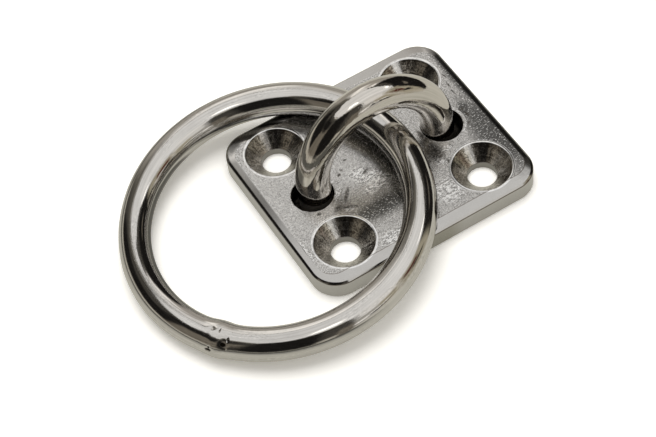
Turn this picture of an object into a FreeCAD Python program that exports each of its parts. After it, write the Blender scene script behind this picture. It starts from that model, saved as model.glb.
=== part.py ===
import FreeCAD, Part
import math
import os

# Ring plate in millimetres. Origin at the middle of the plate's underside, +Z up.
# The bow's legs stand along X, and the loose ring lies over the plate's left end (-X).

# Base plate
plate_length = 45.4
plate_width = 39.2
plate_thickness = 4.0
plate_corner_r = 5.2
border_width = 2.4
border_drop = 0.2
edge_bevel_width = 0.45
edge_bevel_drop = 0.35

# Countersunk screw holes, one near each corner
screw_pitch_x = 28.8
screw_pitch_y = 24.0
screw_hole_d = 5.4
screw_land = 1.35
sink_d = 11.4

# Bow of round bar, its legs down the two plain holes at the plate's ends
bow_bar_d = 6.2
bow_leg_pitch = 26.0
bow_head_room = 11.5
bow_lean_deg = 5.8
leg_hole_clearance = 0.75
leg_hole_outset = 0.7
leg_hole_lip_width = 0.3
leg_hole_lip_depth = 0.12
leg_weld_depth = 1.0

# Ring of round bar, closed by one butt weld
ring_inner_d = 45.0
ring_bar_d = 6.0
ring_pass_x = 3.4
ring_shift_y = -1.6
ring_floor_gap = 0.05
ring_edge_gap = 0.3
weld_swell = 0.3
weld_length = 5.0
weld_angle_deg = 215.0
swing_end_gap_deg = 0.5

# Sizes that follow
bow_r = bow_leg_pitch / 2
bow_bar_r = bow_bar_d / 2
crown_z = plate_thickness + bow_head_room + bow_bar_r
spring_z = crown_z - bow_r
leg_hole_r = bow_bar_r + leg_hole_clearance
leg_hole_x = bow_r + leg_hole_outset
ring_bar_r = ring_bar_d / 2
ring_r = ring_inner_d / 2 + ring_bar_r
screw_spots = [(sx * screw_pitch_x / 2, sy * screw_pitch_y / 2) for sx in (-1, 1) for sy in (-1, 1)]
weld_steps = 4

# How far the cutters reach past the plate's faces
above = 1.0


def vec(x, y, z):
    return FreeCAD.Vector(x, y, z)


def face(points):
    """Flat face in the X Z plane inside the closed outline of (x, z) points."""
    corners = [vec(x, 0, z) for x, z in points]
    sides = zip(corners, corners[1:] + corners[:1])
    return Part.Face(Part.Wire([Part.LineSegment(start, end).toShape() for start, end in sides]))


def revolved(points):
    """Solid of the closed (radius, height) profile turned about Z."""
    return face(points).revolve(vec(0, 0, 0), vec(0, 0, 1), 360)


def screw_hole_cutter():
    """Plain land below and a wide cone above it, out to the plate's top."""
    land_r = screw_hole_d / 2
    rim_r = sink_d / 2
    spread = above * (rim_r - land_r) / (plate_thickness - screw_land)
    return revolved([
        (0, -above),
        (land_r, -above),
        (land_r, screw_land),
        (rim_r + spread, plate_thickness + above),
        (0, plate_thickness + above),
    ])


def leg_hole_cutter():
    """Plain bore for one leg of the bow with a shallow lip at the top."""
    lip_r = leg_hole_r + leg_hole_lip_width
    top = plate_thickness + above
    return revolved([
        (0, -above),
        (leg_hole_r, -above),
        (leg_hole_r, plate_thickness - leg_hole_lip_depth),
        (lip_r, plate_thickness),
        (lip_r, top),
        (0, top),
    ])


def edge_profile(reach):
    """Face from the middle out to a wall: flat top, border sloping down, bevel, wall."""
    slope = border_drop / border_width
    bevel_x = reach - edge_bevel_width
    bevel_z = plate_thickness - slope * (border_width - edge_bevel_width)
    return face([
        (0, 0),
        (reach, 0),
        (reach, bevel_z - edge_bevel_drop),
        (bevel_x, bevel_z),
        (reach - border_width, plate_thickness),
        (0, plate_thickness),
    ])


def base_plate():
    """Four slabs with the edge profile, a turned corner between each pair, and the holes."""
    half_x = plate_length / 2
    half_y = plate_width / 2
    corner_x = half_x - plate_corner_r
    corner_y = half_y - plate_corner_r
    pieces = []
    for quarter, (reach, straight) in enumerate([(half_x, corner_y), (half_y, corner_x)] * 2):
        slab = edge_profile(reach).translated(vec(0, -straight, 0)).extrude(vec(0, 2 * straight, 0))
        pieces.append(slab.rotated(vec(0, 0, 0), vec(0, 0, 1), 90 * quarter))
    corner = edge_profile(plate_corner_r).revolve(vec(0, 0, 0), vec(0, 0, 1), 360)
    for x, y in [(corner_x, corner_y), (-corner_x, corner_y), (-corner_x, -corner_y), (corner_x, -corner_y)]:
        pieces.append(corner.translated(vec(x, y, 0)))
    plate = pieces[0].fuse(pieces[1:]).removeSplitter()
    holes = [screw_hole_cutter().translated(vec(x, y, 0)) for x, y in screw_spots]
    holes += [leg_hole_cutter().translated(vec(side * leg_hole_x, 0, 0)) for side in (-1, 1)]
    return plate.cut(holes)


def bow():
    """Straight leg, half circle, straight leg, leaned back a little and cut flush below."""
    left = vec(-bow_r, 0, -above)
    left_top = vec(-bow_r, 0, spring_z)
    right_top = vec(bow_r, 0, spring_z)
    right = vec(bow_r, 0, -above)
    path = Part.Wire([
        Part.LineSegment(left, left_top).toShape(),
        Part.Arc(left_top, vec(0, 0, crown_z), right_top).toShape(),
        Part.LineSegment(right_top, right).toShape(),
    ])
    section = Part.Wire([Part.Circle(left, vec(0, 0, 1), bow_bar_r).toShape()])
    bar = path.makePipeShell([section], True, False)
    bar = bar.rotated(vec(0, 0, 0), vec(1, 0, 0), -bow_lean_deg)
    reach = bow_leg_pitch + crown_z
    keep = Part.makeBox(2 * reach, 2 * reach, reach, vec(-reach, -reach, 0))
    return bar.common(keep)


def leg_weld(side, bar):
    """Weld metal that fills the hole round one leg, ground flush with the underside."""
    plug = Part.makeCylinder(leg_hole_r, leg_weld_depth, vec(side * leg_hole_x, 0, 0))
    return plug.cut(bar)


def ring_rest():
    """Slopes of the resting ring, towards +X and towards +Y, as (tilt, roll) in radians.

    The ring touches the floor at its left end and crosses both long edges of the plate.
    Its middle line is a circle, so each crossing lies sqrt(R^2 - v^2) along the ring.
    """
    edge_y = plate_width / 2 - border_width / 2
    rise = plate_thickness - border_drop / 2 + ring_edge_gap - ring_floor_gap
    far_v = edge_y - ring_shift_y
    near_v = -edge_y - ring_shift_y
    far_u = math.sqrt(ring_r ** 2 - far_v ** 2)
    near_u = math.sqrt(ring_r ** 2 - near_v ** 2)
    side_share = (near_u - far_u) / (far_v - near_v)
    run = far_u + side_share * far_v + ring_r * math.hypot(1, side_share)
    slope = rise / run
    return math.atan(slope), math.atan(side_share * slope)


def ring_frame():
    """Middle of the ring and its unit directions: towards the bow, across, and normal."""
    tilt, roll = ring_rest()
    along = vec(math.cos(tilt), 0, math.sin(tilt))
    across = vec(-math.sin(tilt) * math.sin(roll), math.cos(roll), math.cos(tilt) * math.sin(roll))
    normal = along.cross(across)
    fall = math.sqrt(1 - normal.z ** 2)
    height = ring_r * fall + ring_bar_r + ring_floor_gap
    middle = vec(ring_pass_x - ring_r * along.x, ring_shift_y, height)
    return middle, along, across, normal


def ring_section(angle, radius):
    """Circle across the ring's bar, at an angle in degrees round the ring."""
    circle = Part.Circle(vec(ring_r, 0, 0), vec(0, 1, 0), radius).toShape()
    return Part.Wire([circle]).rotated(vec(0, 0, 0), vec(0, 0, 1), angle)


def ring():
    """Round bar bent to a circle, closed by a weld that swells over its length, laid at rest."""
    half_weld = math.degrees(weld_length / 2 / ring_r)
    start = weld_angle_deg + half_weld
    end = weld_angle_deg - half_weld + 360
    bar = Part.Face(ring_section(start, ring_bar_r)).revolve(vec(0, 0, 0), vec(0, 0, 1), end - start)
    sections = []
    for step in range(weld_steps + 1):
        share = step / weld_steps
        swell = weld_swell * math.sin(math.pi * share)
        sections.append(ring_section(start - 2 * half_weld * share, ring_bar_r + swell))
    body = bar.fuse(Part.makeLoft(sections, True))
    middle, along, across, normal = ring_frame()
    matrix = FreeCAD.Matrix(
        along.x, across.x, normal.x, middle.x,
        along.y, across.y, normal.y, middle.y,
        along.z, across.z, normal.z, middle.z,
        0, 0, 0, 1,
    )
    body.Placement = FreeCAD.Placement(matrix)
    return body


def main():
    os.makedirs("parts", exist_ok=True)
    bar = bow()
    parts = {
        "base_plate": base_plate(),
        "bow": bar,
        "bow_weld_left": leg_weld(-1, bar),
        "bow_weld_right": leg_weld(1, bar),
        "ring": ring(),
    }
    for name, shape in parts.items():
        shape.exportStep(f"parts/{name}.step")
        print(name, "volume", round(shape.Volume, 1), "valid", shape.isValid(), "solids", len(shape.Solids))
    middle, along, across, normal = ring_frame()
    pivot = middle + along * ring_r
    print("swing pivot", [round(c, 3) for c in pivot], "axis", [round(c, 5) for c in across])
    tilt, roll = ring_rest()
    print("swing end", round(180 + 2 * math.degrees(tilt) - swing_end_gap_deg, 2))
    print("ring middle", [round(c, 3) for c in middle])


main()
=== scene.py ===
"""Ring plate of polished stainless steel: the looks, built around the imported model.

Sizes are in millimetres and are turned to metres where a mesh or a light is made.
"""
import math

import bmesh
import bpy
import numpy as np
from mathutils import Matrix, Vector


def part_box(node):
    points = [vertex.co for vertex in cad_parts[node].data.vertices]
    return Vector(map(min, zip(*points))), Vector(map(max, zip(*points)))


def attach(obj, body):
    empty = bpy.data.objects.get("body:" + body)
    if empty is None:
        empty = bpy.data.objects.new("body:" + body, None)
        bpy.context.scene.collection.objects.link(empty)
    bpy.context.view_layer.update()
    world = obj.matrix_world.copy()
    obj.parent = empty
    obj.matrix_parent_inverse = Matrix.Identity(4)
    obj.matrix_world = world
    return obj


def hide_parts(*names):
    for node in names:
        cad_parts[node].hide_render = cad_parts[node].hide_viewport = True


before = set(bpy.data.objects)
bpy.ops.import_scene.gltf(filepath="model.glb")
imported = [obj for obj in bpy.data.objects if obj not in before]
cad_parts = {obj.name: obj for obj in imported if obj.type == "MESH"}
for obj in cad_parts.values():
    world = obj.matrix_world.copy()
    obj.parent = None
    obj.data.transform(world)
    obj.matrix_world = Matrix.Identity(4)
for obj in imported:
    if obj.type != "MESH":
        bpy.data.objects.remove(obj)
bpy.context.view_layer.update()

MM = 0.001

# Base plate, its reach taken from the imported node
plate_high = np.array(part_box("base_plate")[1]) / MM
half_x, half_y, plate_top = plate_high
plate_corner_r = 5.2
foot_round = 0.2
border_drop = 0.2
border_corner_r = 3.2
border_width = {"left": 1.5, "right": 1.2, "front": 2.4, "back": 2.4}
crown_height = 0.05

# Plate's edge from the border outwards: small round, bevel, small round, wall
edge_lead = math.radians(6)
bevel_slope = math.radians(36)
bevel_length = 0.34
bevel_round_top = 0.2
bevel_round_wall = 0.3

# Holes
screw_x = 14.4
screw_y = 12.0
screw_hole_r = 2.7
screw_land = 1.35
sink_r = 5.5
sink_rim_r = 0.2
ridge_lean = math.radians(12)
sink_slope = math.atan((plate_top - screw_land) / (sink_r - screw_hole_r))
sink_chatter = 0.012
leg_hole_x = 13.7
leg_hole_r = 3.85
leg_rim_r = 0.15

# The plate's top is divided into cells, one round each hole and a plain one in the middle
cell_x = 7.5
cell_y = 5.45
no_hole = (20.0, 20.0, 0.0)

# Bow of round bar and the welds below it
bow_bar_r = 3.1
bow_r = 13.0
bow_spring_z = 5.6
bow_lean = math.radians(5.8)
leg_weld_depth = 1.0
leg_weld_turns = 96
leg_weld_ripple = 0.08
leg_weld_crest = 0.12

# Ring
ring_r = 25.5
ring_bar_r = 3.0
ring_pass_x = 3.4
ring_shift_y = -1.6
ring_floor_gap = 0.05
ring_edge_gap = 0.3
weld_angle = math.radians(215)
weld_length = 5.0
weld_swell = 0.3

# The weld's lump: its middle in mm along the ring and where round the bar it is ground thin
lump_middle = 0.8
lump_share = 0.42
thin_turn = 80
thin_spread = 38
thin_share = 0.7
lump_ripple = 0.010
ripple_middle = 1.0
ripple_reach = 2.3

# The weld's ground facet: depth in mm, where along the ring it comes in and where it ends in a
# step, and its middle and spread in degrees round the bar
facet_depth = 0.045
facet_start = (0.8, 2.2)
facet_step = (3.0, 3.25)
facet_turn = 52
facet_spread = 17

# Pits at the weld: mm along the ring, degrees round the bar, half length in mm, half width in
# degrees, depth in mm, darkness
weld_pits = [
    (0.1, 20.5, 0.62, 4.0, 0.25, 1),
    (0.2, 30, 0.24, 3.5, 0.25, 1),
    (1.35, 94, 0.14, 5, 0.2, 0.6),
    (0.0, 95, 0.5, 7, 0.06, 0),
    (2.5, 49, 0.6, 8, 0.08, 0.9),
    (3.2, 66, 0.14, 5, 0.24, 1),
    (2.6, 17, 0.25, 4, 0.08, 0),
]

# How fine the bars are; the ring's steps crowd towards its weld
bar_turns = 96
bow_steps = 300
ring_steps = 960
weld_crowding = -0.2

# How much the surfaces stray from their plain form, in mm
ring_wave = 0.008
bow_wave = 0.010
bow_ripple = 0.003
top_wave = 0.004

# The ring's bar is thinner at its left
ring_narrow = 0.12
ring_narrow_angle = math.radians(148)
ring_narrow_spread = math.radians(26)

# Middle of the resting ring on the floor
floor_middle = (-22.0, -1.6)

# Camera
camera_azimuth = math.radians(-24.76)
camera_elevation = math.radians(53.69)
camera_roll = math.radians(-8.11)
camera_distance = 344.7
camera_target = np.array([-13.005, -3.522, 0.0])
camera_lens = 106.04
camera_sensor = 36


def edge_steps():
    """The edge as (distance out, distance down) pairs from the end of the border to the wall."""
    pairs = [(0.0, 0.0)]

    def bend(radius, start, end, count):
        """Points on a round whose slope goes from start to end."""
        out, down = pairs[-1]
        for turn in np.linspace(start, end, count + 1)[1:]:
            pairs.append((
                out + radius * (math.sin(turn) - math.sin(start)),
                down + radius * (math.cos(start) - math.cos(turn)),
            ))

    bend(bevel_round_top, edge_lead, bevel_slope, 4)
    out, down = pairs[-1]
    for length in (bevel_length / 2, bevel_length):
        pairs.append((out + length * math.cos(bevel_slope), down + length * math.sin(bevel_slope)))
    bend(bevel_round_wall, bevel_slope, math.pi / 2, 6)
    return pairs


edge_inset = edge_steps()[-1][0]


def smooth(x, low, high):
    """0 below low, 1 above high, and the cubic 3t^2 - 2t^3 between them."""
    t = np.clip((x - low) / (high - low), 0, 1)
    return t * t * (3 - 2 * t)


def waves(points, length, count, seed):
    """Sum of count sine waves of about one length in mm, in directions and phases drawn from a seed."""
    draw = np.random.default_rng(seed)
    total = 0
    for _ in range(count):
        way = draw.normal(size=points.shape[-1])
        way *= 2 * math.pi / (length * draw.uniform(0.7, 1.4) * np.linalg.norm(way))
        total = total + np.sin(points @ way + draw.uniform(0, 2 * math.pi))
    return total / math.sqrt(count)


def grid_faces(rows, columns, wrap_rows=False, wrap_columns=False):
    """Quads between the neighbouring rows and columns of a grid of points."""
    r, c = np.meshgrid(
        np.arange(rows if wrap_rows else rows - 1),
        np.arange(columns if wrap_columns else columns - 1),
        indexing="ij",
    )
    r_next = (r + 1) % rows
    c_next = (c + 1) % columns
    quads = [r * columns + c, r_next * columns + c, r_next * columns + c_next, r * columns + c_next]
    return np.stack(quads, -1).reshape(-1, 4)


def fan_faces(loop, centre):
    """Triangles from a closed loop of vertex numbers to one centre vertex."""
    return np.stack([loop, np.roll(loop, -1), np.full(len(loop), centre)], -1)


class Surface:
    """Patches of points and faces, with values at the points, that become one mesh."""

    def __init__(self, *names):
        self.points = []
        self.faces = []
        self.values = {name: [] for name in names}
        self.count = 0

    def add(self, points, faces, **values):
        flat = points.reshape(-1, 3)
        self.points.append(flat)
        self.faces += [face for group in faces for face in (group + self.count).tolist()]
        for name, kept in self.values.items():
            value = np.asarray(values.get(name, 0.0), float)
            width = value.shape[-1] if value.ndim == points.ndim else 1
            kept.append(np.broadcast_to(value.reshape(-1, width), (len(flat), width)))
        self.count += len(flat)

    def finish(self, name, body, node, material, crease):
        """One object at the origin: equal points are joined and edges over the crease angle are sharp."""
        points = np.concatenate(self.points) * MM
        mesh = bpy.data.meshes.new(name)
        mesh.from_pydata(points, [], self.faces)
        for key, kept in self.values.items():
            data = np.concatenate(kept)
            kind, field = ("FLOAT", "value") if data.shape[1] == 1 else ("FLOAT_VECTOR", "vector")
            layer = mesh.attributes.new(key, kind, "POINT")
            layer.data.foreach_set(field, data.astype(np.float32).ravel())
        mesh.validate()
        piece = bpy.data.objects.new(name, mesh)
        bpy.context.collection.objects.link(piece)
        merge_points(mesh)
        mesh.shade_smooth()
        mesh.set_sharp_from_angle(angle=math.radians(crease))
        mesh.materials.append(material)
        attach(piece, body)
        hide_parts(node)


def merge_points(mesh):
    """Joins points that lie within a hundred-thousandth of a millimetre of each other."""
    work = bmesh.new()
    work.from_mesh(mesh)
    bmesh.ops.remove_doubles(work, verts=work.verts, dist=1e-5 * MM)
    bmesh.ops.dissolve_degenerate(work, edges=work.edges, dist=1e-6 * MM)
    work.to_mesh(mesh)
    work.free()


# Shader building

class Wire:
    """A socket that adds one Math node for each operation done on it."""

    def __init__(self, net, socket):
        self.net = net
        self.socket = socket

    def maths(self, operation, *others):
        """A Math node on this value and the others."""
        values = dict(enumerate([self, *others]))
        return self.net.add("ShaderNodeMath", {"operation": operation}, values)

    def __add__(self, other):
        return self.maths("ADD", other)

    def __sub__(self, other):
        return self.maths("SUBTRACT", other)

    def __rsub__(self, other):
        """Other minus this value."""
        return self.net.add("ShaderNodeMath", {"operation": "SUBTRACT"}, {0: other, 1: self})

    def __mul__(self, other):
        return self.maths("MULTIPLY", other)

    def __truediv__(self, other):
        return self.maths("DIVIDE", other)

    def __abs__(self):
        return self.maths("ABSOLUTE")

    __radd__ = __add__
    __rmul__ = __mul__

    def rise(self, low, high):
        """0 below low, 1 above high, smooth between."""
        return self.net.add(
            "ShaderNodeMapRange", {"interpolation_type": "SMOOTHSTEP"},
            {"Value": self, "From Min": low, "From Max": high},
        )

    def fall(self, low, high):
        """1 below low, 0 above high, smooth between."""
        return 1 - self.rise(low, high)


class Net:
    """The nodes of one material or of the world."""

    def __init__(self, tree):
        self.tree = tree
        tree.nodes.clear()

    def add(self, kind, settings=None, sockets=None, out=0):
        """A node of one type: its settings are set first, then the values or links of its sockets."""
        node = self.tree.nodes.new(kind)
        for key, value in (settings or {}).items():
            setattr(node, key, value)
        for key, value in (sockets or {}).items():
            if isinstance(value, Wire):
                self.tree.links.new(value.socket, node.inputs[key])
            else:
                node.inputs[key].default_value = value
        return Wire(self, node.outputs[out]) if node.outputs else node

    def mix(self, share, first, second):
        """Colour that goes from first to second as share goes from 0 to 1."""
        return self.add(
            "ShaderNodeMix", {"data_type": "RGBA"},
            {"Factor": share, 6: first, 7: second}, out=2,
        )

    def attribute(self, name, out="Vector"):
        """A value that the piece's mesh keeps at its points."""
        return self.add("ShaderNodeAttribute", {"attribute_name": name}, out=out)

    def parts(self, vector):
        """The three numbers of a vector."""
        node = self.tree.nodes.new("ShaderNodeSeparateXYZ")
        self.tree.links.new(vector.socket, node.inputs[0])
        return [Wire(self, socket) for socket in node.outputs]

    def vector(self, x, y, z):
        """The vector of three numbers."""
        return self.add("ShaderNodeCombineXYZ", None, {0: x, 1: y, 2: z})

    def stretched(self, vector, scale):
        """A vector with each of its numbers multiplied by its own scale."""
        return self.add("ShaderNodeMapping", None, {"Vector": vector, "Scale": scale})

    def noise(self, vector, scale, detail=2.0, rough=0.5):
        """Noise from 0 to 1 whose grains are about 1 / scale wide."""
        sockets = {"Vector": vector, "Scale": scale, "Detail": detail, "Roughness": rough}
        return self.add("ShaderNodeTexNoise", None, sockets)

    def curve(self, value, low, high, points):
        """Value along the straight lines that join (position, value) points, the first at low and
        the last at high."""
        span = high - low
        place = (value - low) / span
        node = self.tree.nodes.new("ShaderNodeValToRGB")
        self.tree.links.new(place.socket, node.inputs[0])
        stops = node.color_ramp.elements
        for position, _ in points[1:-1]:
            stops.new((position - low) / span)
        for stop, (_, height) in zip(stops, points):
            share = (height - low) / span
            stop.color = (share, share, share, 1)
        return Wire(self, node.outputs[0]) * span + low

    def object_mm(self):
        """The place on the object in millimetres."""
        place = self.add("ShaderNodeTexCoord", out="Object")
        return self.stretched(place, (1 / MM, 1 / MM, 1 / MM))

    def steel(self, colour, roughness, height, unit=0.01):
        """Metal with a bump, where a height of 1 stands for unit millimetres."""
        bump = self.add("ShaderNodeBump", None, {"Height": height, "Distance": unit * MM})
        shader = self.add("ShaderNodeBsdfPrincipled", None, {
            "Base Color": colour, "Metallic": 1.0, "Roughness": roughness, "Normal": bump,
        })
        self.add("ShaderNodeOutputMaterial", None, {"Surface": shader})


def grey(value, warmth=0.0):
    """A grey that is a little warmer where warmth is above nothing."""
    return (value * (1 + warmth), value, value * (1 - 1.3 * warmth), 1)


def distance(x, y):
    """How far (x, y) lies from the origin."""
    return (x * x + y * y).maths("SQRT")


def oval(x, y, mark, wobble, soft):
    """1 inside a turned oval whose edge is shifted by wobble, 0 outside it."""
    middle_x, middle_y, length, width, turn = mark
    cos = math.cos(math.radians(turn))
    sin = math.sin(math.radians(turn))
    along = ((x - middle_x) * cos + (y - middle_y) * sin) / length
    across = ((y - middle_y) * cos - (x - middle_x) * sin) / width
    return (distance(along, across) + wobble * soft).fall(1 - soft, 1 + soft)


def most(masks):
    """The greatest of several masks."""
    total, *others = masks
    for mask in others:
        total = total.maths("MAXIMUM", mask)
    return total


def new_net(name):
    """An empty material and its nodes."""
    material = bpy.data.materials.new(name)
    material.use_nodes = True
    return material, Net(material.node_tree)


# Frame of the resting ring

def ring_frame():
    """Middle of the resting ring and its directions: towards the bow, across, and up from its plane.

    The ring keeps its named gaps from the floor at its left end and from both long edges of the
    plate.
    """
    edge_y = half_y - border_width["front"] / 2
    rise = plate_top - border_drop / 2 + ring_edge_gap - ring_floor_gap
    far_v = edge_y - ring_shift_y
    near_v = -edge_y - ring_shift_y
    far_u = math.sqrt(ring_r ** 2 - far_v ** 2)
    near_u = math.sqrt(ring_r ** 2 - near_v ** 2)
    share = (near_u - far_u) / (far_v - near_v)
    slope = rise / (far_u + share * far_v + ring_r * math.hypot(1, share))
    tilt = math.atan(slope)
    roll = math.atan(share * slope)
    along = np.array([math.cos(tilt), 0, math.sin(tilt)])
    across = np.array([
        -math.sin(tilt) * math.sin(roll), math.cos(roll), math.cos(tilt) * math.sin(roll),
    ])
    normal = np.cross(along, across)
    height = ring_r * math.sqrt(1 - normal[2] ** 2) + ring_bar_r + ring_floor_gap
    middle = np.array([ring_pass_x - ring_r * along[0], ring_shift_y, height])
    return middle, along, across, normal


# Base plate

def rectangle_gap(x, y, low, high, corner_r):
    """Distance outside a rectangle with round corners, below nothing inside it."""
    over_x = np.abs(x - (low[0] + high[0]) / 2) - ((high[0] - low[0]) / 2 - corner_r)
    over_y = np.abs(y - (low[1] + high[1]) / 2) - ((high[1] - low[1]) / 2 - corner_r)
    outside = np.hypot(np.maximum(over_x, 0), np.maximum(over_y, 0))
    return outside + np.minimum(np.maximum(over_x, over_y), 0) - corner_r


def border_gap(x, y):
    """Distance outside the flat middle of the plate's top."""
    low = (-half_x + border_width["left"], -half_y + border_width["front"])
    high = (half_x - border_width["right"], half_y - border_width["back"])
    return rectangle_gap(x, y, low, high, border_corner_r)


def top_height(x, y):
    """The plate's top: a low crown, long soft waves, and a border that falls to the edge."""
    inset = -rectangle_gap(x, y, (-half_x, -half_y), (half_x, half_y), plate_corner_r)
    gap = np.maximum(border_gap(x, y), 0)
    fall = border_drop * gap / np.maximum(gap + inset, 1e-6)
    crown = crown_height * ((x / half_x) ** 2 + (y / half_y) ** 2) / 2
    flat = np.stack([x, y], -1)
    ripple = top_wave * waves(flat, 9.0, 7, 11) * smooth(-border_gap(x, y), 0, 2)
    return plate_top - fall - crown + ripple


def run(start, end, count):
    """Points on a straight line, without the last one."""
    share = np.arange(count)[:, None] / count
    return np.array(start) + (np.array(end) - np.array(start)) * share


def corner_run(centre, radius, count):
    """Points on a quarter arc from +X to +Y, without the last one."""
    turn = np.arange(count) / count * math.pi / 2
    return np.array(centre) + radius * np.stack([np.cos(turn), np.sin(turn)], -1)


def corner_cell():
    """Loop round the screw hole at +X +Y, against the clock."""
    x = half_x - edge_inset
    y = half_y - edge_inset
    centre = (half_x - plate_corner_r, half_y - plate_corner_r)
    return np.concatenate([
        run((cell_x, cell_y), (x, cell_y), 56),
        run((x, cell_y), (x, centre[1]), 36),
        corner_run(centre, plate_corner_r - edge_inset, 36),
        run((centre[0], y), (cell_x, y), 40),
        run((cell_x, y), (cell_x, cell_y), 56),
    ])


def leg_cell():
    """Loop round the leg hole at +X, against the clock."""
    x = half_x - edge_inset
    return np.concatenate([
        run((cell_x, -cell_y), (x, -cell_y), 56),
        run((x, -cell_y), (x, cell_y), 48),
        run((x, cell_y), (cell_x, cell_y), 56),
        run((cell_x, cell_y), (cell_x, -cell_y), 48),
    ])


def outline_loop():
    """The whole plate's outline, inset to where the round edge starts, against the clock."""
    x = half_x - edge_inset
    y = half_y - edge_inset
    corner_x = half_x - plate_corner_r
    corner_y = half_y - plate_corner_r
    quarter = np.concatenate([
        run((x, cell_y), (x, corner_y), 36),
        corner_run((corner_x, corner_y), plate_corner_r - edge_inset, 36),
        run((corner_x, y), (cell_x, y), 40),
    ])
    mirrored = np.concatenate([[(-cell_x, y)], (quarter * (-1, 1))[:0:-1]])
    upper = np.concatenate([quarter, run((cell_x, y), (-cell_x, y), 60), mirrored])
    return np.concatenate([
        run((x, 0), (x, cell_y), 24),
        upper,
        run((-x, cell_y), (-x, 0), 24),
        run((-x, 0), (-x, -cell_y), 24),
        -upper,
        run((x, -cell_y), (x, 0), 24),
    ])


def crease_radius(centre, ways, rim, reach):
    """Where each ray from a hole crosses the border's inner line, found by halving."""
    low = rim.copy()
    high = reach.copy()
    for _ in range(30):
        middle = (low + high) / 2
        spot = centre + ways * middle[:, None]
        outside = border_gap(spot[:, 0], spot[:, 1]) > 0
        high = np.where(outside, middle, high)
        low = np.where(outside, low, middle)
    span = reach - rim
    return np.clip(low, rim + 0.1 * span, reach - 0.07 * span)


# Rows of points in a hole's patch, from the underside to the cell's loop
below_rows = 4
land_rows = 4
cone_rows = 15
leg_rows = 8
rim_rows = 10
flank_rows = 5
top_rows = 15
border_rows = 6

# Each kind of hole: radius, rim's round, slope of the wall below the rim, rim's unevenness
hole_kinds = {
    "screw": (screw_hole_r, sink_rim_r, sink_slope, 0.05),
    "leg": (leg_hole_r, leg_rim_r, math.pi / 2, 0.16),
}


def hole_patch(surface, centre, loop, kind):
    """One grid from the underside, up through a hole, over its low round ridge and across the
    top to the cell's loop. Each row is the distance from the hole's middle and the height, for
    all directions at once."""
    centre = np.array(centre)
    reach = np.linalg.norm(loop - centre, axis=1)
    ways = (loop - centre) / reach[:, None]
    seed = int(centre[0] * 7 + centre[1] * 3 + 500)
    bore, rim_radius, slope, unevenness = hole_kinds[kind]
    round_r = rim_radius * (1 + unevenness * waves(ways * bore, 1.3, 8, seed))
    outer = sink_r + round_r * math.tan(slope / 2) if kind == "screw" else leg_hole_r + round_r
    flank = 2 * round_r * math.sin(ridge_lean)
    rim_spot = centre + ways * (outer + flank)[:, None]
    rim_level = top_height(rim_spot[:, 0], rim_spot[:, 1])
    crest = rim_level + 2 * round_r * (1 - math.cos(ridge_lean))
    arc_foot_r = outer - round_r * math.sin(slope)
    arc_foot_z = crest - round_r * (1 - math.cos(slope))
    rows = []

    def row(radius, level):
        rows.append(np.broadcast_arrays(radius, level, reach)[:2])

    for share in np.linspace(0, 1, below_rows)[:-1]:
        row(reach + (bore - reach) * share, 0)
    row(bore, 0)
    if kind == "screw":
        for level in np.linspace(0, screw_land, land_rows)[1:]:
            row(bore, level)
        chatter = sink_chatter * waves(ways * sink_r, 1.1, 10, seed + 1)
        for share in np.linspace(0, 1, cone_rows)[1:-1]:
            swell = chatter * math.sin(math.pi * share)
            level = screw_land + (arc_foot_z - screw_land) * share
            row(bore + (arc_foot_r - bore) * share + swell, level)
    else:
        for share in np.linspace(0, 1, leg_rows)[1:-1]:
            row(bore, arc_foot_z * share)
    for bend in np.linspace(slope, -ridge_lean, rim_rows):
        row(outer - round_r * math.sin(bend), crest - round_r * (1 - math.cos(bend)))
    outer = outer + flank
    for bend in np.linspace(ridge_lean, 0, flank_rows)[1:]:
        row(outer - round_r * math.sin(bend), rim_level + round_r * (1 - math.cos(bend)))
    crease = crease_radius(centre, ways, outer, reach)
    top = [outer + (crease - outer) * share ** 1.3 for share in np.linspace(0, 1, top_rows)[1:]]
    top += [crease + (reach - crease) * share for share in np.linspace(0, 1, border_rows)[1:]]
    for radius in top:
        spot = centre + ways * radius[:, None]
        row(radius, top_height(spot[:, 0], spot[:, 1]))
    radius, level = np.stack(rows, 1)
    flat = centre + ways * radius[..., None]
    points = np.dstack([flat, level])
    sign = np.full(radius.shape, 1.0 if kind == "screw" else -1.0)
    sign[[0, -2, -1]] = 0.0
    spot = np.dstack([flat - centre, sign])
    border = border_gap(points[..., 0], points[..., 1])[..., None]
    faces = grid_faces(len(rows), len(loop), wrap_columns=True)
    surface.add(points, [faces], spot=spot, border=border)


def plain_patch(surface):
    """The plate's middle between the cells, on top and below."""
    y = half_y - edge_inset
    side = np.concatenate([
        run((0, -y), (0, -cell_y), 56),
        run((0, -cell_y), (0, cell_y), 48),
        run((0, cell_y), (0, y), 56),
        [(0, y)],
    ])[:, 1]
    x, y = np.meshgrid(np.linspace(-cell_x, cell_x, 61), side, indexing="ij")
    spot = np.broadcast_to(no_hole, x.shape + (3,))
    border = border_gap(x, y)[..., None]
    faces = grid_faces(*x.shape)
    surface.add(np.dstack([x, y, top_height(x, y)]), [faces], spot=spot, border=border)
    surface.add(np.dstack([x, y, np.zeros(x.shape)]), [faces[:, ::-1]], spot=spot, border=border)


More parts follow.
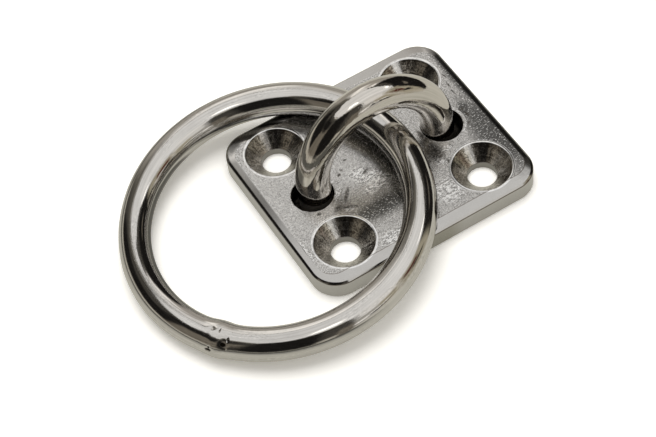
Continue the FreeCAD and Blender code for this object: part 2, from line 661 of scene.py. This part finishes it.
def edge_patch(surface):
    """The edge carried round the outline: round above, wall, small round below, underside."""
    loop = outline_loop()
    ahead = np.roll(loop, -1, axis=0) - np.roll(loop, 1, axis=0)
    out = np.stack([ahead[:, 1], -ahead[:, 0]], -1)
    out /= np.linalg.norm(out, axis=1)[:, None]
    level = top_height(loop[:, 0], loop[:, 1])
    rows = [(shift, level - down) for shift, down in edge_steps()]
    wall_top = rows[-1][1]
    for share in np.linspace(0, 1, 7)[1:]:
        rows.append((edge_inset, wall_top + (foot_round - wall_top) * share))
    for turn in np.linspace(0, math.pi / 2, 5)[1:]:
        rows.append((edge_inset - foot_round * (1 - math.cos(turn)), foot_round * (1 - math.sin(turn))))
    rows.append((0, 0))
    points = []
    for shift, z in rows:
        flat = loop + out * shift
        points.append(np.column_stack([flat, np.broadcast_to(z, len(loop))]))
    points = np.stack(points)
    faces = grid_faces(len(rows), len(loop), wrap_columns=True)
    spot = np.broadcast_to(no_hole, points.shape)
    border = border_gap(points[..., 0], points[..., 1])[..., None]
    surface.add(points, [faces], spot=spot, border=border)


def make_plate(material):
    """A patch round each hole, a plain one between them and the edge, joined at their loops.

    Each point keeps its place from its hole's middle with the hole's kind (1 for a screw, -1
    for a leg), and its distance past the flat middle of the top.
    """
    surface = Surface("spot", "border")
    corner = corner_cell()
    leg = leg_cell()
    for sx in (-1, 1):
        for sy in (-1, 1):
            loop = corner * (sx, sy)
            hole_patch(surface, (sx * screw_x, sy * screw_y), loop[::sx * sy], "screw")
        loop = leg * (sx, 1)
        hole_patch(surface, (sx * leg_hole_x, 0.0), loop[::sx], "leg")
    plain_patch(surface)
    edge_patch(surface)
    surface.finish("plate_skin", "plate", "base_plate", material, 30)


# Bow, its welds and the ring

def bar_grid(middle, outward, sideways, radius, turns):
    """Bar round a path: the path's point plus radius times (outward times the cosine of the turn
    plus sideways times its sine)."""
    cos = np.cos(turns)[None, :, None]
    sin = np.sin(turns)[None, :, None]
    return middle[:, None] + radius[..., None] * (cos * outward[:, None] + sin * sideways[:, None])


def make_bow(material):
    """Leg, half circle, leg: a path of length s in the X Z plane, leaned back about the X axis."""
    leg = bow_spring_z
    arc = math.pi * bow_r
    foot = 0.9
    end = 2 * leg + arc - foot
    s = np.concatenate([[foot / 2], np.linspace(foot, end, bow_steps), [end + foot / 2]])
    bend = np.clip((s - leg) / bow_r, 0, math.pi)
    side = -np.cos(bend)
    rise = np.where(s < leg, s, np.where(s > leg + arc, 2 * leg + arc - s, leg + bow_r * np.sin(bend)))
    path = np.stack([bow_r * side, 0 * s, rise], -1)
    outward = np.stack([side, 0 * s, np.sin(bend)], -1)
    sideways = np.broadcast_to([0.0, 1.0, 0.0], path.shape)
    turns = np.arange(bar_turns) / bar_turns * 2 * math.pi
    straight = bar_grid(path, outward, sideways, np.full((len(s), bar_turns), bow_bar_r), turns)
    radius = bow_bar_r + bow_wave * waves(straight, 8.0, 8, 21) + bow_ripple * waves(straight, 2.6, 10, 22)
    points = bar_grid(path, outward, sideways, radius, turns)
    lean = np.array([
        [1, 0, 0],
        [0, math.cos(bow_lean), -math.sin(bow_lean)],
        [0, math.sin(bow_lean), math.cos(bow_lean)],
    ])
    points = points @ lean
    leg_way = np.array([0, 0, 1]) @ lean
    for row in (0, -1):
        points[row] -= leg_way * (points[row][:, 2:] / leg_way[2])
    lay = np.dstack([
        np.broadcast_to(s[:, None], radius.shape), radius * np.cos(turns), radius * np.sin(turns),
    ])
    surface = Surface("lay")
    faces = grid_faces(len(s), bar_turns, wrap_columns=True)
    surface.add(points, [faces], lay=lay)
    for row, order in ((0, 1), (-1, -1)):
        rim = points[row]
        cap = np.concatenate([rim, [rim.mean(0)]])
        loop = np.arange(bar_turns)[::order]
        cap_lay = np.concatenate([lay[row], [[0.0, 0.0, 0.0]]])
        surface.add(cap, [fan_faces(loop, bar_turns)], lay=cap_lay)
    surface.finish("bow_bar", "plate", "bow", material, 40)


def make_leg_weld(name, side, node, material):
    """Ring of weld metal between a leaned leg and its hole, rippled above and flat below."""
    turns = np.arange(leg_weld_turns) / leg_weld_turns * 2 * math.pi
    around = np.stack([np.cos(turns), np.sin(turns)], -1)
    outer = np.array([side * leg_hole_x, 0.0]) + around * leg_hole_r
    ripple = waves(around * leg_hole_r, 1.6, 6, 40 + side)

    def leg_point(z):
        """Where the leaned leg's skin lies at height z."""
        middle = np.array([side * bow_r, z * math.tan(bow_lean)])
        return middle + around * bow_bar_r

    rows = []
    for share in (0, 0.5, 1):
        flat = leg_point(0) + (outer - leg_point(0)) * share
        rows.append(np.column_stack([flat, np.zeros(leg_weld_turns)]))
    level = leg_weld_depth + leg_weld_ripple * ripple
    for share in np.linspace(0, 1, 7):
        crest = leg_weld_crest * math.sin(math.pi * share)
        flat = outer + (leg_point(leg_weld_depth) - outer) * share
        rows.append(np.column_stack([flat, level + crest]))
    points = np.stack(rows)
    faces = grid_faces(len(rows), leg_weld_turns, wrap_rows=True, wrap_columns=True)
    surface = Surface()
    surface.add(points, [faces[:, ::-1]])
    surface.finish(name, "plate", node, material, 40)


def weld_shape(s, turn, points):
    """Change of the bar's radius at the ring's weld, s mm along the ring from it: a bell-shaped
    lump with a ripple, one ground facet that ends in a step, and bell-shaped pits; also how deep
    in a pit each point is, from 0 to 1."""
    degrees = np.degrees(turn)
    lump = weld_swell * np.exp(-((s - lump_middle) / (lump_share * weld_length)) ** 2)
    lump = lump * (1 - thin_share * np.exp(-((degrees - thin_turn) / thin_spread) ** 2))
    near = np.exp(-((s - ripple_middle) / ripple_reach) ** 4)
    facet = smooth(s, *facet_start) * (1 - smooth(s, *facet_step))
    facet = facet * np.exp(-((degrees - facet_turn) / facet_spread) ** 2)
    change = lump + lump_ripple * near * waves(points, 1.3, 8, 61) - facet_depth * facet
    pit = 0
    for middle, middle_turn, length, width, depth, darkness in weld_pits:
        off = (degrees - middle_turn + 180) % 360 - 180
        share = np.exp(-((s - middle) / length) ** 2 - (off / width) ** 2)
        change = change - depth * share
        pit = np.maximum(pit, darkness * share)
    return change, pit


def make_ring(material):
    """Torus about the ring's tilted middle, its bar a little uneven and swollen at the weld."""
    middle, along, across, normal = ring_frame()
    spread = np.linspace(-1, 1, ring_steps + 1)[:-1]
    angle = weld_angle + math.pi * (spread + weld_crowding * np.sin(math.pi * spread))
    turns = np.arange(bar_turns) / bar_turns * 2 * math.pi
    outward = np.cos(angle)[:, None] * along + np.sin(angle)[:, None] * across
    off = (angle - ring_narrow_angle + math.pi) % (2 * math.pi) - math.pi
    narrow = ring_narrow * np.exp(-(off / ring_narrow_spread) ** 2)
    path = middle + (ring_r - narrow / 2)[:, None] * outward
    sideways = np.broadcast_to(normal, path.shape)
    from_weld = (angle - weld_angle) * ring_r
    plain = bar_grid(path, outward, sideways, np.full((ring_steps, bar_turns), ring_bar_r), turns)
    radius = ring_bar_r - narrow[:, None] + ring_wave * waves(plain, 7.0, 9, 31)
    change, pit = weld_shape(from_weld[:, None], turns[None], plain)
    radius = radius + change
    points = bar_grid(path, outward, sideways, radius, turns)
    s = np.broadcast_to((angle % (2 * math.pi) * ring_r)[:, None], radius.shape)
    lay = np.dstack([s, radius * np.cos(turns), radius * np.sin(turns)])
    surface = Surface("lay", "pit")
    faces = grid_faces(ring_steps, bar_turns, wrap_rows=True, wrap_columns=True)
    surface.add(points, [faces], lay=lay, pit=pit[..., None])
    surface.finish("ring_bar", "ring", "ring", material, 60)


# Materials

# Marks on the plate's top: middle x and y, half length, half width, turn in degrees
# Bands of painted dark reflection; on the polished border they are also rougher
dull_and_reflection_bands = [
    (-4.9, -9.4, 6.5, 1.9, 0), (20.6, -6.6, 3.6, 9.6, 0), (18.9, 0.6, 1.2, 2.4, -20),
    (21.9, 7.0, 1.1, 11.0, 0), (-11.5, 19.0, 9.0, 1.2, 0), (-19.6, 18.0, 2.6, 1.1, 38),
]
# Places of painted glints: raised flakes painted white, and painted dark gaps between them
glint_zones = [
    (-3.4, -2.6, 3.9, 2.0, -50), (11.6, -4.9, 1.1, 0.6, 0), (6.9, -13.2, 2.6, 2.4, 0),
    (-9.8, -6.5, 0.9, 0.5, 0), (-20.9, -10.0, 0.4, 2.4, 0), (-4.5, -5.3, 1.6, 0.8, 0),
    (-9.8, -2.6, 2.2, 0.35, 40), (-17.2, -11.6, 1.2, 0.5, 0), (9.0, -6.6, 0.8, 0.8, 0),
    (-6.5, -16.0, 2.5, 1.5, 0),
]
dark_marks = [
    (-3.2, -1.1, 0.75, 0.3, 30), (-6.7, 1.6, 0.3, 0.22, 0), (-7.6, 0.9, 0.4, 0.25, 40),
    (-5.0, 3.2, 0.32, 0.2, 0), (-15.0, -4.4, 0.5, 0.3, 0), (9.3, 0.2, 0.45, 1.3, 0),
    (8.3, -5.3, 0.5, 0.15, 20), (20.4, 9.4, 0.13, 0.8, 10), (19.9, 7.2, 0.15, 0.7, -5),
    (19.7, 5.2, 0.12, 0.6, 5), (17.0, 5.8, 0.3, 0.12, 0), (-8.8, -3.7, 1.6, 0.35, 48),
    (-11.5, -5.4, 0.9, 0.5, 10), (-9.4, -6.4, 1.5, 0.35, -25), (18.6, 1.0, 0.5, 0.3, 0),
    (18.9, -0.6, 0.25, 0.8, 10), (18.0, -2.4, 0.5, 0.2, 30), (9.2, -5.0, 1.3, 1.6, 20),
    (10.2, -8.0, 0.3, 1.0, 0),
]

# Colours of worn, dirty or dull places, and of painted shade and painted reflection
painted_reflection_grey = (0.10, 0.10, 0.097, 1)
ring_reflection_grey = (0.10, 0.093, 0.08, 1)
mark_brown = (0.09, 0.08, 0.068, 1)
crease_shade_brown = (0.13, 0.095, 0.065, 1)
wall_shadow_olive = (0.30, 0.29, 0.22, 1)
seat_dark = (0.11, 0.093, 0.072, 1)
seat_light = (0.82, 0.79, 0.74, 1)
foot_brown = (0.46, 0.42, 0.37, 1)
foot_shade_brown = (0.17, 0.145, 0.12, 1)
pit_black = (0.03, 0.025, 0.02, 1)

# Direction across the plate that places the holes' painted shade and light: seats are painted
# darker towards it and lighter away from it, and leg bores lighter away from it
painted_shade_x = 0.42
painted_shade_y = 0.91


def seat_finish(net, spot_x, spot_y, radius, mottle, painted_lit_side):
    """Colour and height of a screw's turned seat: rings and chatter of the cutter, painted shade on
    one side and painted light on the other, and one light wedge of painted reflection."""
    swirl = net.vector(spot_x / radius, spot_y / radius, radius * 0.12)
    chatter = net.noise(swirl, 8.0, 3.0, 0.7)
    rings = net.vector(spot_x / radius * 0.4, spot_y / radius * 0.4, radius * 4.5)
    turning = net.noise(rings, 1.0, 2.0, 0.6)
    tone = (mottle - 0.5) * 3.6 + (chatter - 0.5) * 3.0 + (turning - 0.5) * 1.6 + 0.44
    tone = tone + (sink_r - radius) * 0.16
    # Painted shade on one side of the seat and painted light on the other
    tone = tone - painted_lit_side.fall(-0.95, -0.75) * 0.3 + painted_lit_side.rise(0.3, 0.9) * 0.15
    sideways = (spot_x * painted_shade_y - spot_y * painted_shade_x) / radius
    # A light wedge of painted reflection
    wedge = (sideways + (mottle - 0.5) * 0.2).rise(-0.55, -0.45)
    wedge = wedge * (sideways + (chatter - 0.5) * 0.2).fall(-0.26, -0.16)
    wedge = wedge * painted_lit_side.fall(-0.7, -0.5)
    shade = net.mix(tone, seat_dark, seat_light)
    shade = net.mix(wedge * 0.75, shade, grey(1.0))
    return shade, turning * 2.5 + chatter * 3.0 + mottle * 2.0


def plate_steel():
    """Satin top with dents and marks, polished border, turned screw seats and dull bores, with painted
    shade, painted reflections and painted glints.
    """
    material, net = new_net("plate_steel")
    place = net.object_mm()
    x, y, z = net.parts(place)
    spot_x, spot_y, kind = net.parts(net.attribute("spot"))
    border = net.attribute("border", "Fac")
    radius = distance(spot_x, spot_y)
    painted_lit_side = (0 - spot_x * painted_shade_x - spot_y * painted_shade_y) / radius

    grain = net.noise(place, 5.4, 2.0, 0.7).rise(0.28, 0.72)
    cloud = net.noise(place, 0.35, 3.0, 0.6)
    ragged = net.noise(place, 1.4, 3.0, 0.6)
    mottle = net.noise(place, 4.6, 2.0, 0.7)
    dash = net.noise(net.stretched(place, (2.4, 5.6, 1.0)), 1.0, 1.0, 0.5)
    flake = net.noise(net.stretched(place, (1.1, 2.3, 1.0)), 1.0, 1.0, 0.5)
    pits = net.noise(place, 2.2, 1.0, 0.4).fall(0.2, 0.28)
    wobble = (ragged - 0.5) * 1.2
    wavy_z = z + wobble * 0.06

    # Regions, from 0 to 1: the seat, the bore and the light rim of a screw hole, the wall of a leg hole
    # with its painted shade and the painted highlight on its lip, the polished border, the satin top,
    # and a stretch of the near wall with the ring's painted shadow
    screw = kind.rise(0.2, 0.8)
    leg = (0 - kind).rise(0.2, 0.8)
    above_wall = z.rise(plate_top - 0.6, plate_top - 0.4)
    upper = z.rise(plate_top - 1.0, plate_top - 0.8)
    seat = radius.fall(sink_r - 0.1, sink_r) * screw * z.rise(screw_land, screw_land + 0.1)
    bore = radius.fall(screw_hole_r + 0.05, screw_hole_r + 0.1) * screw * z.rise(0.0, 0.1)
    rim = radius.fall(sink_r + 0.35, sink_r + 0.45) * screw * above_wall
    # Painted shade in the leg holes' bores
    inside = z.rise(0, 0.1) * z.fall(plate_top - 1.6, plate_top - 0.6)
    inside = inside * leg * radius.fall(leg_hole_r + 0.1, leg_hole_r + 0.5)
    # Painted highlight on the lip of each leg hole, on its side towards +X
    lip_highlight = leg * above_wall * (radius + wobble * 0.5).fall(leg_hole_r + 0.6, leg_hole_r + 0.75)
    lip_highlight = lip_highlight * (spot_x / radius).rise(0.1, 0.6)
    polished = border.rise(-0.1, 0.15)
    top = above_wall * (1 - rim) * (1 - polished)
    # Painted shadow of the ring on a stretch of the near wall
    wall = z.fall(plate_top - 0.7, plate_top - 0.5) * y.fall(-19, -18.8) * (1 - screw)
    wall = wall * x.rise(-14, -10) * x.fall(2, 6)

    # Marks, from 0 to 1: dull bands of painted dark reflection, glint places with their raised
    # painted glints and the painted dark gaps between them, dark marks, the painted reflection of the
    # resting ring, and the near border's two brown lines of painted shade at its crease and wall's top
    dull_and_reflection_band = most(oval(x, y, mark, wobble, 0.5) for mark in dull_and_reflection_bands) * upper
    glint_zone = most(oval(x, y, mark, wobble, 0.4) for mark in glint_zones) * upper
    # Raised flakes painted white as glints, and painted dark gaps between them
    raised_painted_glint = (dash + glint_zone * 0.11).rise(0.60, 0.63).maths("MAXIMUM", glint_zone * flake.rise(0.51, 0.55))
    between = glint_zone * flake.fall(0.42, 0.50)
    dark_mark = most(oval(x, y, mark, wobble * 1.8, 0.5) for mark in dark_marks) * upper
    dark_mark = dark_mark * (0.45 + 0.55 * net.noise(place, 3.2, 2.0, 0.6).rise(0.36, 0.56))
    # Painted dark reflection of the resting ring on the plate round where it lies
    away = distance(x - floor_middle[0], y - floor_middle[1])
    painted_ring_reflection = away.rise(20.9, 21.9) * away.fall(25, 27) * y.rise(-9, -6) * upper
    # Painted shade along the near border's crease and at the near wall's top edge
    crease = (0 - abs(border + wobble * 0.08)).rise(-0.1, -0.03) * y.fall(-16, -15)
    edge_line = wavy_z.rise(plate_top - 0.68, plate_top - 0.62) * y.fall(-18, -17)
    edge_line = edge_line * wavy_z.fall(plate_top - 0.5, plate_top - 0.44)
    line = (crease * 0.7).maths("MAXIMUM", edge_line * 0.8)

    seat_shade, seat_height = seat_finish(net, spot_x, spot_y, radius, mottle, painted_lit_side)
    height = grain * 0.5 + ragged * 0.5 + raised_painted_glint * 1.5 - pits * 1.5 - dark_mark * 2.0
    height = top * (height + glint_zone * flake * 2.5) + seat * seat_height + polished * cloud * 0.1
    roughness = 0.09 + top * (0.09 + 0.03 * cloud) + seat * 0.10 + inside * 0.3 + bore * 0.2
    roughness = roughness + polished * dull_and_reflection_band * 0.07

    tone = 0.55 + (cloud - 0.5) * 0.5 + (grain - 0.5) * 1.9 - pits * 0.8 - between * 1.3
    shade = net.mix(tone, grey(0.43, 0.012), grey(0.80, 0.012))
    shade = net.mix(dull_and_reflection_band * (0.74 + 0.3 * grain), shade, painted_reflection_grey)
    shade = net.mix(painted_ring_reflection * 0.7, shade, ring_reflection_grey)
    shade = net.mix(raised_painted_glint, shade, grey(1.0))
    shade = net.mix(dark_mark * 0.92, shade, mark_brown)
    shade = net.mix(lip_highlight, shade, net.mix(ragged.rise(0.4, 0.6), grey(0.5, 0.02), grey(0.92)))
    border_shade = net.mix(grain * 0.4 + cloud * 0.6, grey(0.54, 0.015), grey(0.66, 0.015))
    border_shade = net.mix(dull_and_reflection_band * 0.85, border_shade, painted_reflection_grey)
    shade = net.mix(polished, shade, border_shade)
    shade = net.mix(wall * (0.35 + 0.4 * grain), shade, wall_shadow_olive)
    shade = net.mix(rim, shade, net.mix(ragged.rise(0.45, 0.65), grey(0.98), grey(0.8)))
    shade = net.mix(line, shade, crease_shade_brown)
    shade = net.mix(seat, shade, seat_shade)
    shade = net.mix(bore, shade, grey(0.36, 0.03))
    # Painted shade in the leg bores, lighter on one side
    painted_bore_shade = net.mix(painted_lit_side.rise(0.3, 0.8), grey(0.05, 0.1), grey(0.34, 0.1))
    shade = net.mix(inside, shade, painted_bore_shade)
    net.steel(shade, roughness, height)
    return material


def bow_feet(net, shade, roughness, cloud):
    """The bow's colour and roughness with its dull brown feet and painted shade at the bottom of the right
    one.
    """
    x, _, z = net.parts(net.object_mm())
    foot = z.fall(plate_top - 0.9, plate_top + 0.1)
    # Painted shade at the bottom of the right foot
    painted_foot_shade = z.fall(plate_top - 0.4, plate_top + 3.4) * x.rise(9, 11) * cloud.rise(0.1, 0.5)
    shade = net.mix(foot * (0.4 + 0.6 * cloud), shade, foot_brown)
    shade = net.mix(painted_foot_shade * 0.75, shade, foot_shade_brown)
    return shade, roughness + 0.45 * foot


def bar_steel(name, streak_height, dent_height, roughness_low, roughness_high, warmth, feet=False):
    """Polished bar with dents, specks and fine lines that run along it. The mesh keeps each
    point's place as mm along the bar and its two distances across it. Pits are dark."""
    material, net = new_net(name)
    lay = net.attribute("lay")
    deep = net.attribute("pit", "Fac").rise(0.25, 0.55)
    fine = net.noise(net.stretched(lay, (0.05, 3.2, 3.2)), 1.0, 3.0, 0.6)
    broad = net.noise(net.stretched(lay, (0.08, 0.9, 0.9)), 1.0, 2.0, 0.5)
    speck = net.noise(net.stretched(lay, (1.6, 4.0, 4.0)), 1.0, 2.0, 0.6)
    dents = net.noise(net.stretched(lay, (0.45, 0.8, 0.8)), 1.0, 3.0, 0.6)
    cloud = net.noise(lay, 0.25, 3.0, 0.6)
    worn = net.noise(net.stretched(lay, (0.12, 0.6, 0.6)), 1.0, 2.0, 0.5).rise(0.45, 0.65)
    pits = net.noise(lay, 2.6, 1.0, 0.4).fall(0.16, 0.24)
    height = (fine + broad * 1.5 + speck * worn) * streak_height + dents * dent_height - pits * 0.6
    roughness = roughness_low + (roughness_high - roughness_low) * cloud + 0.1 * pits
    tone = 0.5 + (cloud - 0.5) * 0.6 + (fine - 0.5) * 1.8 + (speck - 0.5) * worn * streak_height * 6
    shade = net.mix(tone, grey(0.58, warmth), grey(0.82, warmth))
    if feet:
        shade, roughness = bow_feet(net, shade, roughness, cloud)
    shade = net.mix(deep, shade, pit_black)
    net.steel(shade, roughness + deep * 0.3, height)
    return material


def weld_steel():
    """Duller weld metal with a fine ripple and a brown heat tint, and painted shade just above the
    underside.
    """
    material, net = new_net("weld_steel")
    place = net.object_mm()
    grain = net.noise(place, 3.0, 4.0, 0.65)
    tint = net.noise(place, 0.6, 2.0, 0.5)
    underside = net.parts(place)[2].fall(0.05, 0.3)
    shade = net.mix(tint, grey(0.35, 0.05), grey(0.5, 0.1))
    # Painted shade just above the underside
    shade = net.mix(underside, grey(0.03, 0.1), shade)
    net.steel(shade, 0.3 + 0.2 * grain, grain, 0.02)
    return material


# Studio

# Level of the plain soft light on matt surfaces
soft_level = 0.53

# How far the edges of the studio's patches stray
stray_side_degrees = 2
stray_up_degrees = 1.2

# Colours of the studio, as the metal mirrors them
paper = (0.50, 0.47, 0.40, 1)
bright = (0.79, 0.78, 0.76, 1)
pale = (0.77, 0.75, 0.715, 1)
shaded = (0.13, 0.12, 0.10, 1)
warm = (0.52, 0.49, 0.45, 1)
dull = (0.36, 0.335, 0.295, 1)
sand = (0.38, 0.345, 0.26, 1)
brown = (0.17, 0.15, 0.12, 1)
dark = (0.06, 0.055, 0.047, 1)
black = (0.010, 0.009, 0.008, 1)
maroon = (0.085, 0.028, 0.02, 1)
white = (1.9, 1.85, 1.75, 1)
gleam = (1.1, 1.06, 1.0, 1)
lamp = (0.40, 0.385, 0.35, 1)

# Edges that rise and fall on their way round, as (azimuth, elevation)
studio_edges = {
    "overhead": [
        (-180, 64), (-150, 62), (-120, 59), (-100, 62), (-60, 57.5), (-30, 56), (0, 57), (20, 54.6),
        (24, 53.9), (28, 53.8), (31.5, 53.0), (33, 53.3), (34.5, 55), (42, 54), (55, 52), (72, 51),
        (88, 49), (105, 41), (135, 38), (160, 46), (180, 62),
    ],
    "panel": [
        (-180, 55), (0, 55.5), (20, 54), (24, 53.3), (28, 53.1), (30, 52), (31.5, 50.6), (33, 49.8),
        (40, 47), (180, 45),
    ],
}

# A leaning streak of light in the panel: a point of it, degrees sideways for one of fall, half
# width, lowest and highest elevation, side and edge softness
streak_azimuth = 15
streak_elevation = 35
streak_lean = 0.65
streak_reach = (5, 25, 51, 3, 5)

# Each patch: middle azimuth, half width, lowest and highest elevation, side and edge softness
studio_patches = [
    ((0, 181, 9, 60, 1, 3), dark),
    ((0, 181, "overhead", 95, 1, 0.5), bright),
    ((2, 17, -5, "panel", 5, 0.4), shaded),
    ((21, 21, -5, "panel", 8, 0.4), pale),
    ((33, 9, -8, 43, 3, 6), warm),
    ((17, 26, -8, 31, 6, 8), dull),
    ((-95, 22, 6, 42, 5, 5), brown),
    ((-50, 27, 12, 40, 3, 3), black),
    ((-80, 24, 40, 54, 6, 3), black),
    ((-140, 24, 1, 60, 5, 5), black),
    ((75, 33.5, -4, 43, 2.5, 2), black),
    ((84, 7, 22.5, 27, 4, 1.5), brown),
    ((54, 13, 42, 52, 3, 2), dark),
    ((94, 9, 48.5, 51.5, 4, 1.0), white),
    ((36, 3, 35, 48, 1.5, 1.5), gleam),
    ((-163, 18, 70, 80, 6, 3), white),
    ((124, 18, 3, 42, 5, 8), sand),
    ((156, 16, 4, 60, 4, 8), pale),
    ((150, 9, 6, 34, 3, 6), sand),
    ((128, 8, 21, 33, 2, 2.5), maroon),
    ((166, 8, 4, 33, 3, 5), lamp),
    ((180, 6, -5, 30, 2, 4), brown),
    ((122, 8, 13.5, 20, 3, 1.5), black),
    ((159, 10, 11, 15.5, 3, 1), black),
    ((158, 9, 16.5, 19.5, 3, 0.8), gleam),
    ((170, 4, 11, 17, 2, 1.5), gleam),
]


def patch_mask(azimuth, elevation, middle, half, low, high, soft_side, soft_edge):
    """1 within half degrees of the middle azimuth and between two elevations, soft at its edges."""
    turn = (azimuth - middle).maths("WRAP", 180.0, -180.0)
    side = abs(turn).fall(half - soft_side, half + soft_side)
    lower = elevation.rise(low - soft_edge, low + soft_edge)
    upper = elevation.fall(high - soft_edge, high + soft_edge)
    return side * lower * upper


def world_light():
    """White backdrop to the camera, plain soft light on matt surfaces, and a studio of soft
    panels and dark walls in the metal, as patches of azimuth (0 is +Y, 90 is +X) and elevation."""
    world = bpy.data.worlds.new("studio")
    world.use_nodes = True
    bpy.context.scene.world = world
    net = Net(world.node_tree)
    way = net.add("ShaderNodeTexCoord", out="Generated")
    x, y, z = net.parts(way)
    stray = net.add("ShaderNodeTexNoise", None, {"Vector": way, "Scale": 3.0, "Detail": 3.0}, out="Color")
    stray_side, stray_up, _ = net.parts(stray)
    azimuth = x.maths("ARCTAN2", y) * (180 / math.pi) + (stray_side - 0.5) * stray_side_degrees
    elevation = z.maths("ARCSINE") * (180 / math.pi) + (stray_up - 0.5) * stray_up_degrees
    edges = {name: net.curve(azimuth, -180, 180, points) for name, points in studio_edges.items()}
    shade = paper
    for where, colour in studio_patches:
        where = [edges.get(value, value) for value in where]
        shade = net.mix(patch_mask(azimuth, elevation, *where), shade, colour)
    leaned = azimuth + (elevation - streak_elevation) * streak_lean
    streak = patch_mask(leaned, elevation, streak_azimuth, *streak_reach)
    shade = net.mix(streak, shade, gleam)
    seen = net.add("ShaderNodeLightPath", out="Is Camera Ray")
    glossy = net.add("ShaderNodeLightPath", out="Is Glossy Ray")
    shade = net.mix(glossy, grey(soft_level), shade)
    shade = net.mix(seen, shade, grey(1.0))
    background = net.add("ShaderNodeBackground", None, {"Color": shade, "Strength": 1.0})
    net.add("ShaderNodeOutputWorld", None, {"Surface": background})


# Floor: its corners in metres, and its colours: to the camera, to matt light, to the metal, and
# its own glow in the metal
floor_corners = [(-0.9, -0.9, 0), (0.9, -0.9, 0), (0.9, 0.9, 0), (-0.9, 0.9, 0)]
floor_white = (1.47, 1.44, 1.37, 1)
floor_grey = (0.72, 0.72, 0.72, 1)
floor_mirrored = (0.264, 0.256, 0.226, 1)
floor_glow = (0.32, 0.31, 0.27, 1)


def make_floor():
    """Plain pale floor: white to the camera and keeps the shadow. In the metal it grows darker
    inside the ring, as painted shade, and further out."""
    material, net = new_net("floor_paper")
    seen = net.add("ShaderNodeLightPath", out="Is Camera Ray")
    glossy = net.add("ShaderNodeLightPath", out="Is Glossy Ray")
    x, y, _ = net.parts(net.object_mm())
    away = distance(x - floor_middle[0], y - floor_middle[1])
    # Painted shade inside the resting ring, where the metal mirrors the floor
    inside = away.fall(20, 26) * x.fall(-27, -24.5) * y.rise(-6, 3)
    far = away.rise(30, 75) * 0.8 * x.fall(-18, 4)
    level = (1 - far) * (1 - inside * 0.75)
    lit_part = net.mix(level, grey(0.0), floor_mirrored)
    own_part = net.mix(level, grey(0.0), floor_glow)
    colour = net.mix(glossy, net.mix(seen, floor_grey, floor_white), lit_part)
    glow = net.mix(glossy, grey(0.0), own_part)
    lit = net.add("ShaderNodeBsdfDiffuse", None, {"Color": colour})
    own = net.add("ShaderNodeEmission", None, {"Color": glow, "Strength": 1.0})
    both = net.add("ShaderNodeAddShader", None, {0: lit, 1: own})
    net.add("ShaderNodeOutputMaterial", None, {"Surface": both})
    mesh = bpy.data.meshes.new("floor")
    mesh.from_pydata(floor_corners, [], [(0, 1, 2, 3)])
    mesh.materials.append(material)
    floor = bpy.data.objects.new("floor", mesh)
    bpy.context.collection.objects.link(floor)


def make_lamp(azimuth, elevation, away, size, power):
    """Square area lamp that faces the part, seen by matt surfaces alone; angles in degrees, its
    distance and size in metres and its power in watts."""
    light = bpy.data.lights.new("overhead", "AREA")
    light.size = size
    light.energy = power
    lamp = bpy.data.objects.new("overhead", light)
    bpy.context.collection.objects.link(lamp)
    turn = math.radians(azimuth)
    rise = math.radians(elevation)
    back = np.array([math.sin(turn) * math.cos(rise), math.cos(turn) * math.cos(rise), math.sin(rise)])
    lamp.matrix_world = look_matrix(back * away, back, 0.0)
    lamp.visible_glossy = False
    lamp.visible_camera = False


def look_matrix(place, back, roll):
    """Placing matrix of a camera or lamp that looks against the direction back."""
    right = np.cross([0.0, 0.0, 1.0], back)
    right /= np.linalg.norm(right)
    up = np.cross(back, right)
    right, up = (
        math.cos(roll) * right + math.sin(roll) * up,
        math.cos(roll) * up - math.sin(roll) * right,
    )
    matrix = np.eye(4)
    matrix[:3, 0] = right
    matrix[:3, 1] = up
    matrix[:3, 2] = back
    matrix[:3, 3] = place
    return Matrix(matrix.tolist())


def make_camera():
    """Camera at the photograph's angle."""
    data = bpy.data.cameras.new("camera")
    data.sensor_width = camera_sensor
    data.lens = camera_lens
    data.clip_start = 0.01
    data.clip_end = 20
    camera = bpy.data.objects.new("camera", data)
    bpy.context.collection.objects.link(camera)
    flat = math.cos(camera_elevation)
    back = np.array([
        math.sin(camera_azimuth) * flat, -math.cos(camera_azimuth) * flat, math.sin(camera_elevation),
    ])
    camera.matrix_world = look_matrix((camera_target + back * camera_distance) * MM, back, camera_roll)
    bpy.context.scene.camera = camera


def main():
    make_plate(plate_steel())
    make_bow(bar_steel("bow_steel", 0.12, 4.0, 0.05, 0.09, 0.045, feet=True))
    welds = weld_steel()
    make_leg_weld("leg_weld_left", -1, "bow_weld_left", welds)
    make_leg_weld("leg_weld_right", 1, "bow_weld_right", welds)
    make_ring(bar_steel("ring_steel", 0.35, 0.6, 0.06, 0.13, 0.025))
    make_floor()
    world_light()
    make_lamp(azimuth=10, elevation=78, away=0.9, size=0.7, power=4)
    make_camera()
    bpy.context.scene.view_settings.view_transform = "Standard"


main()
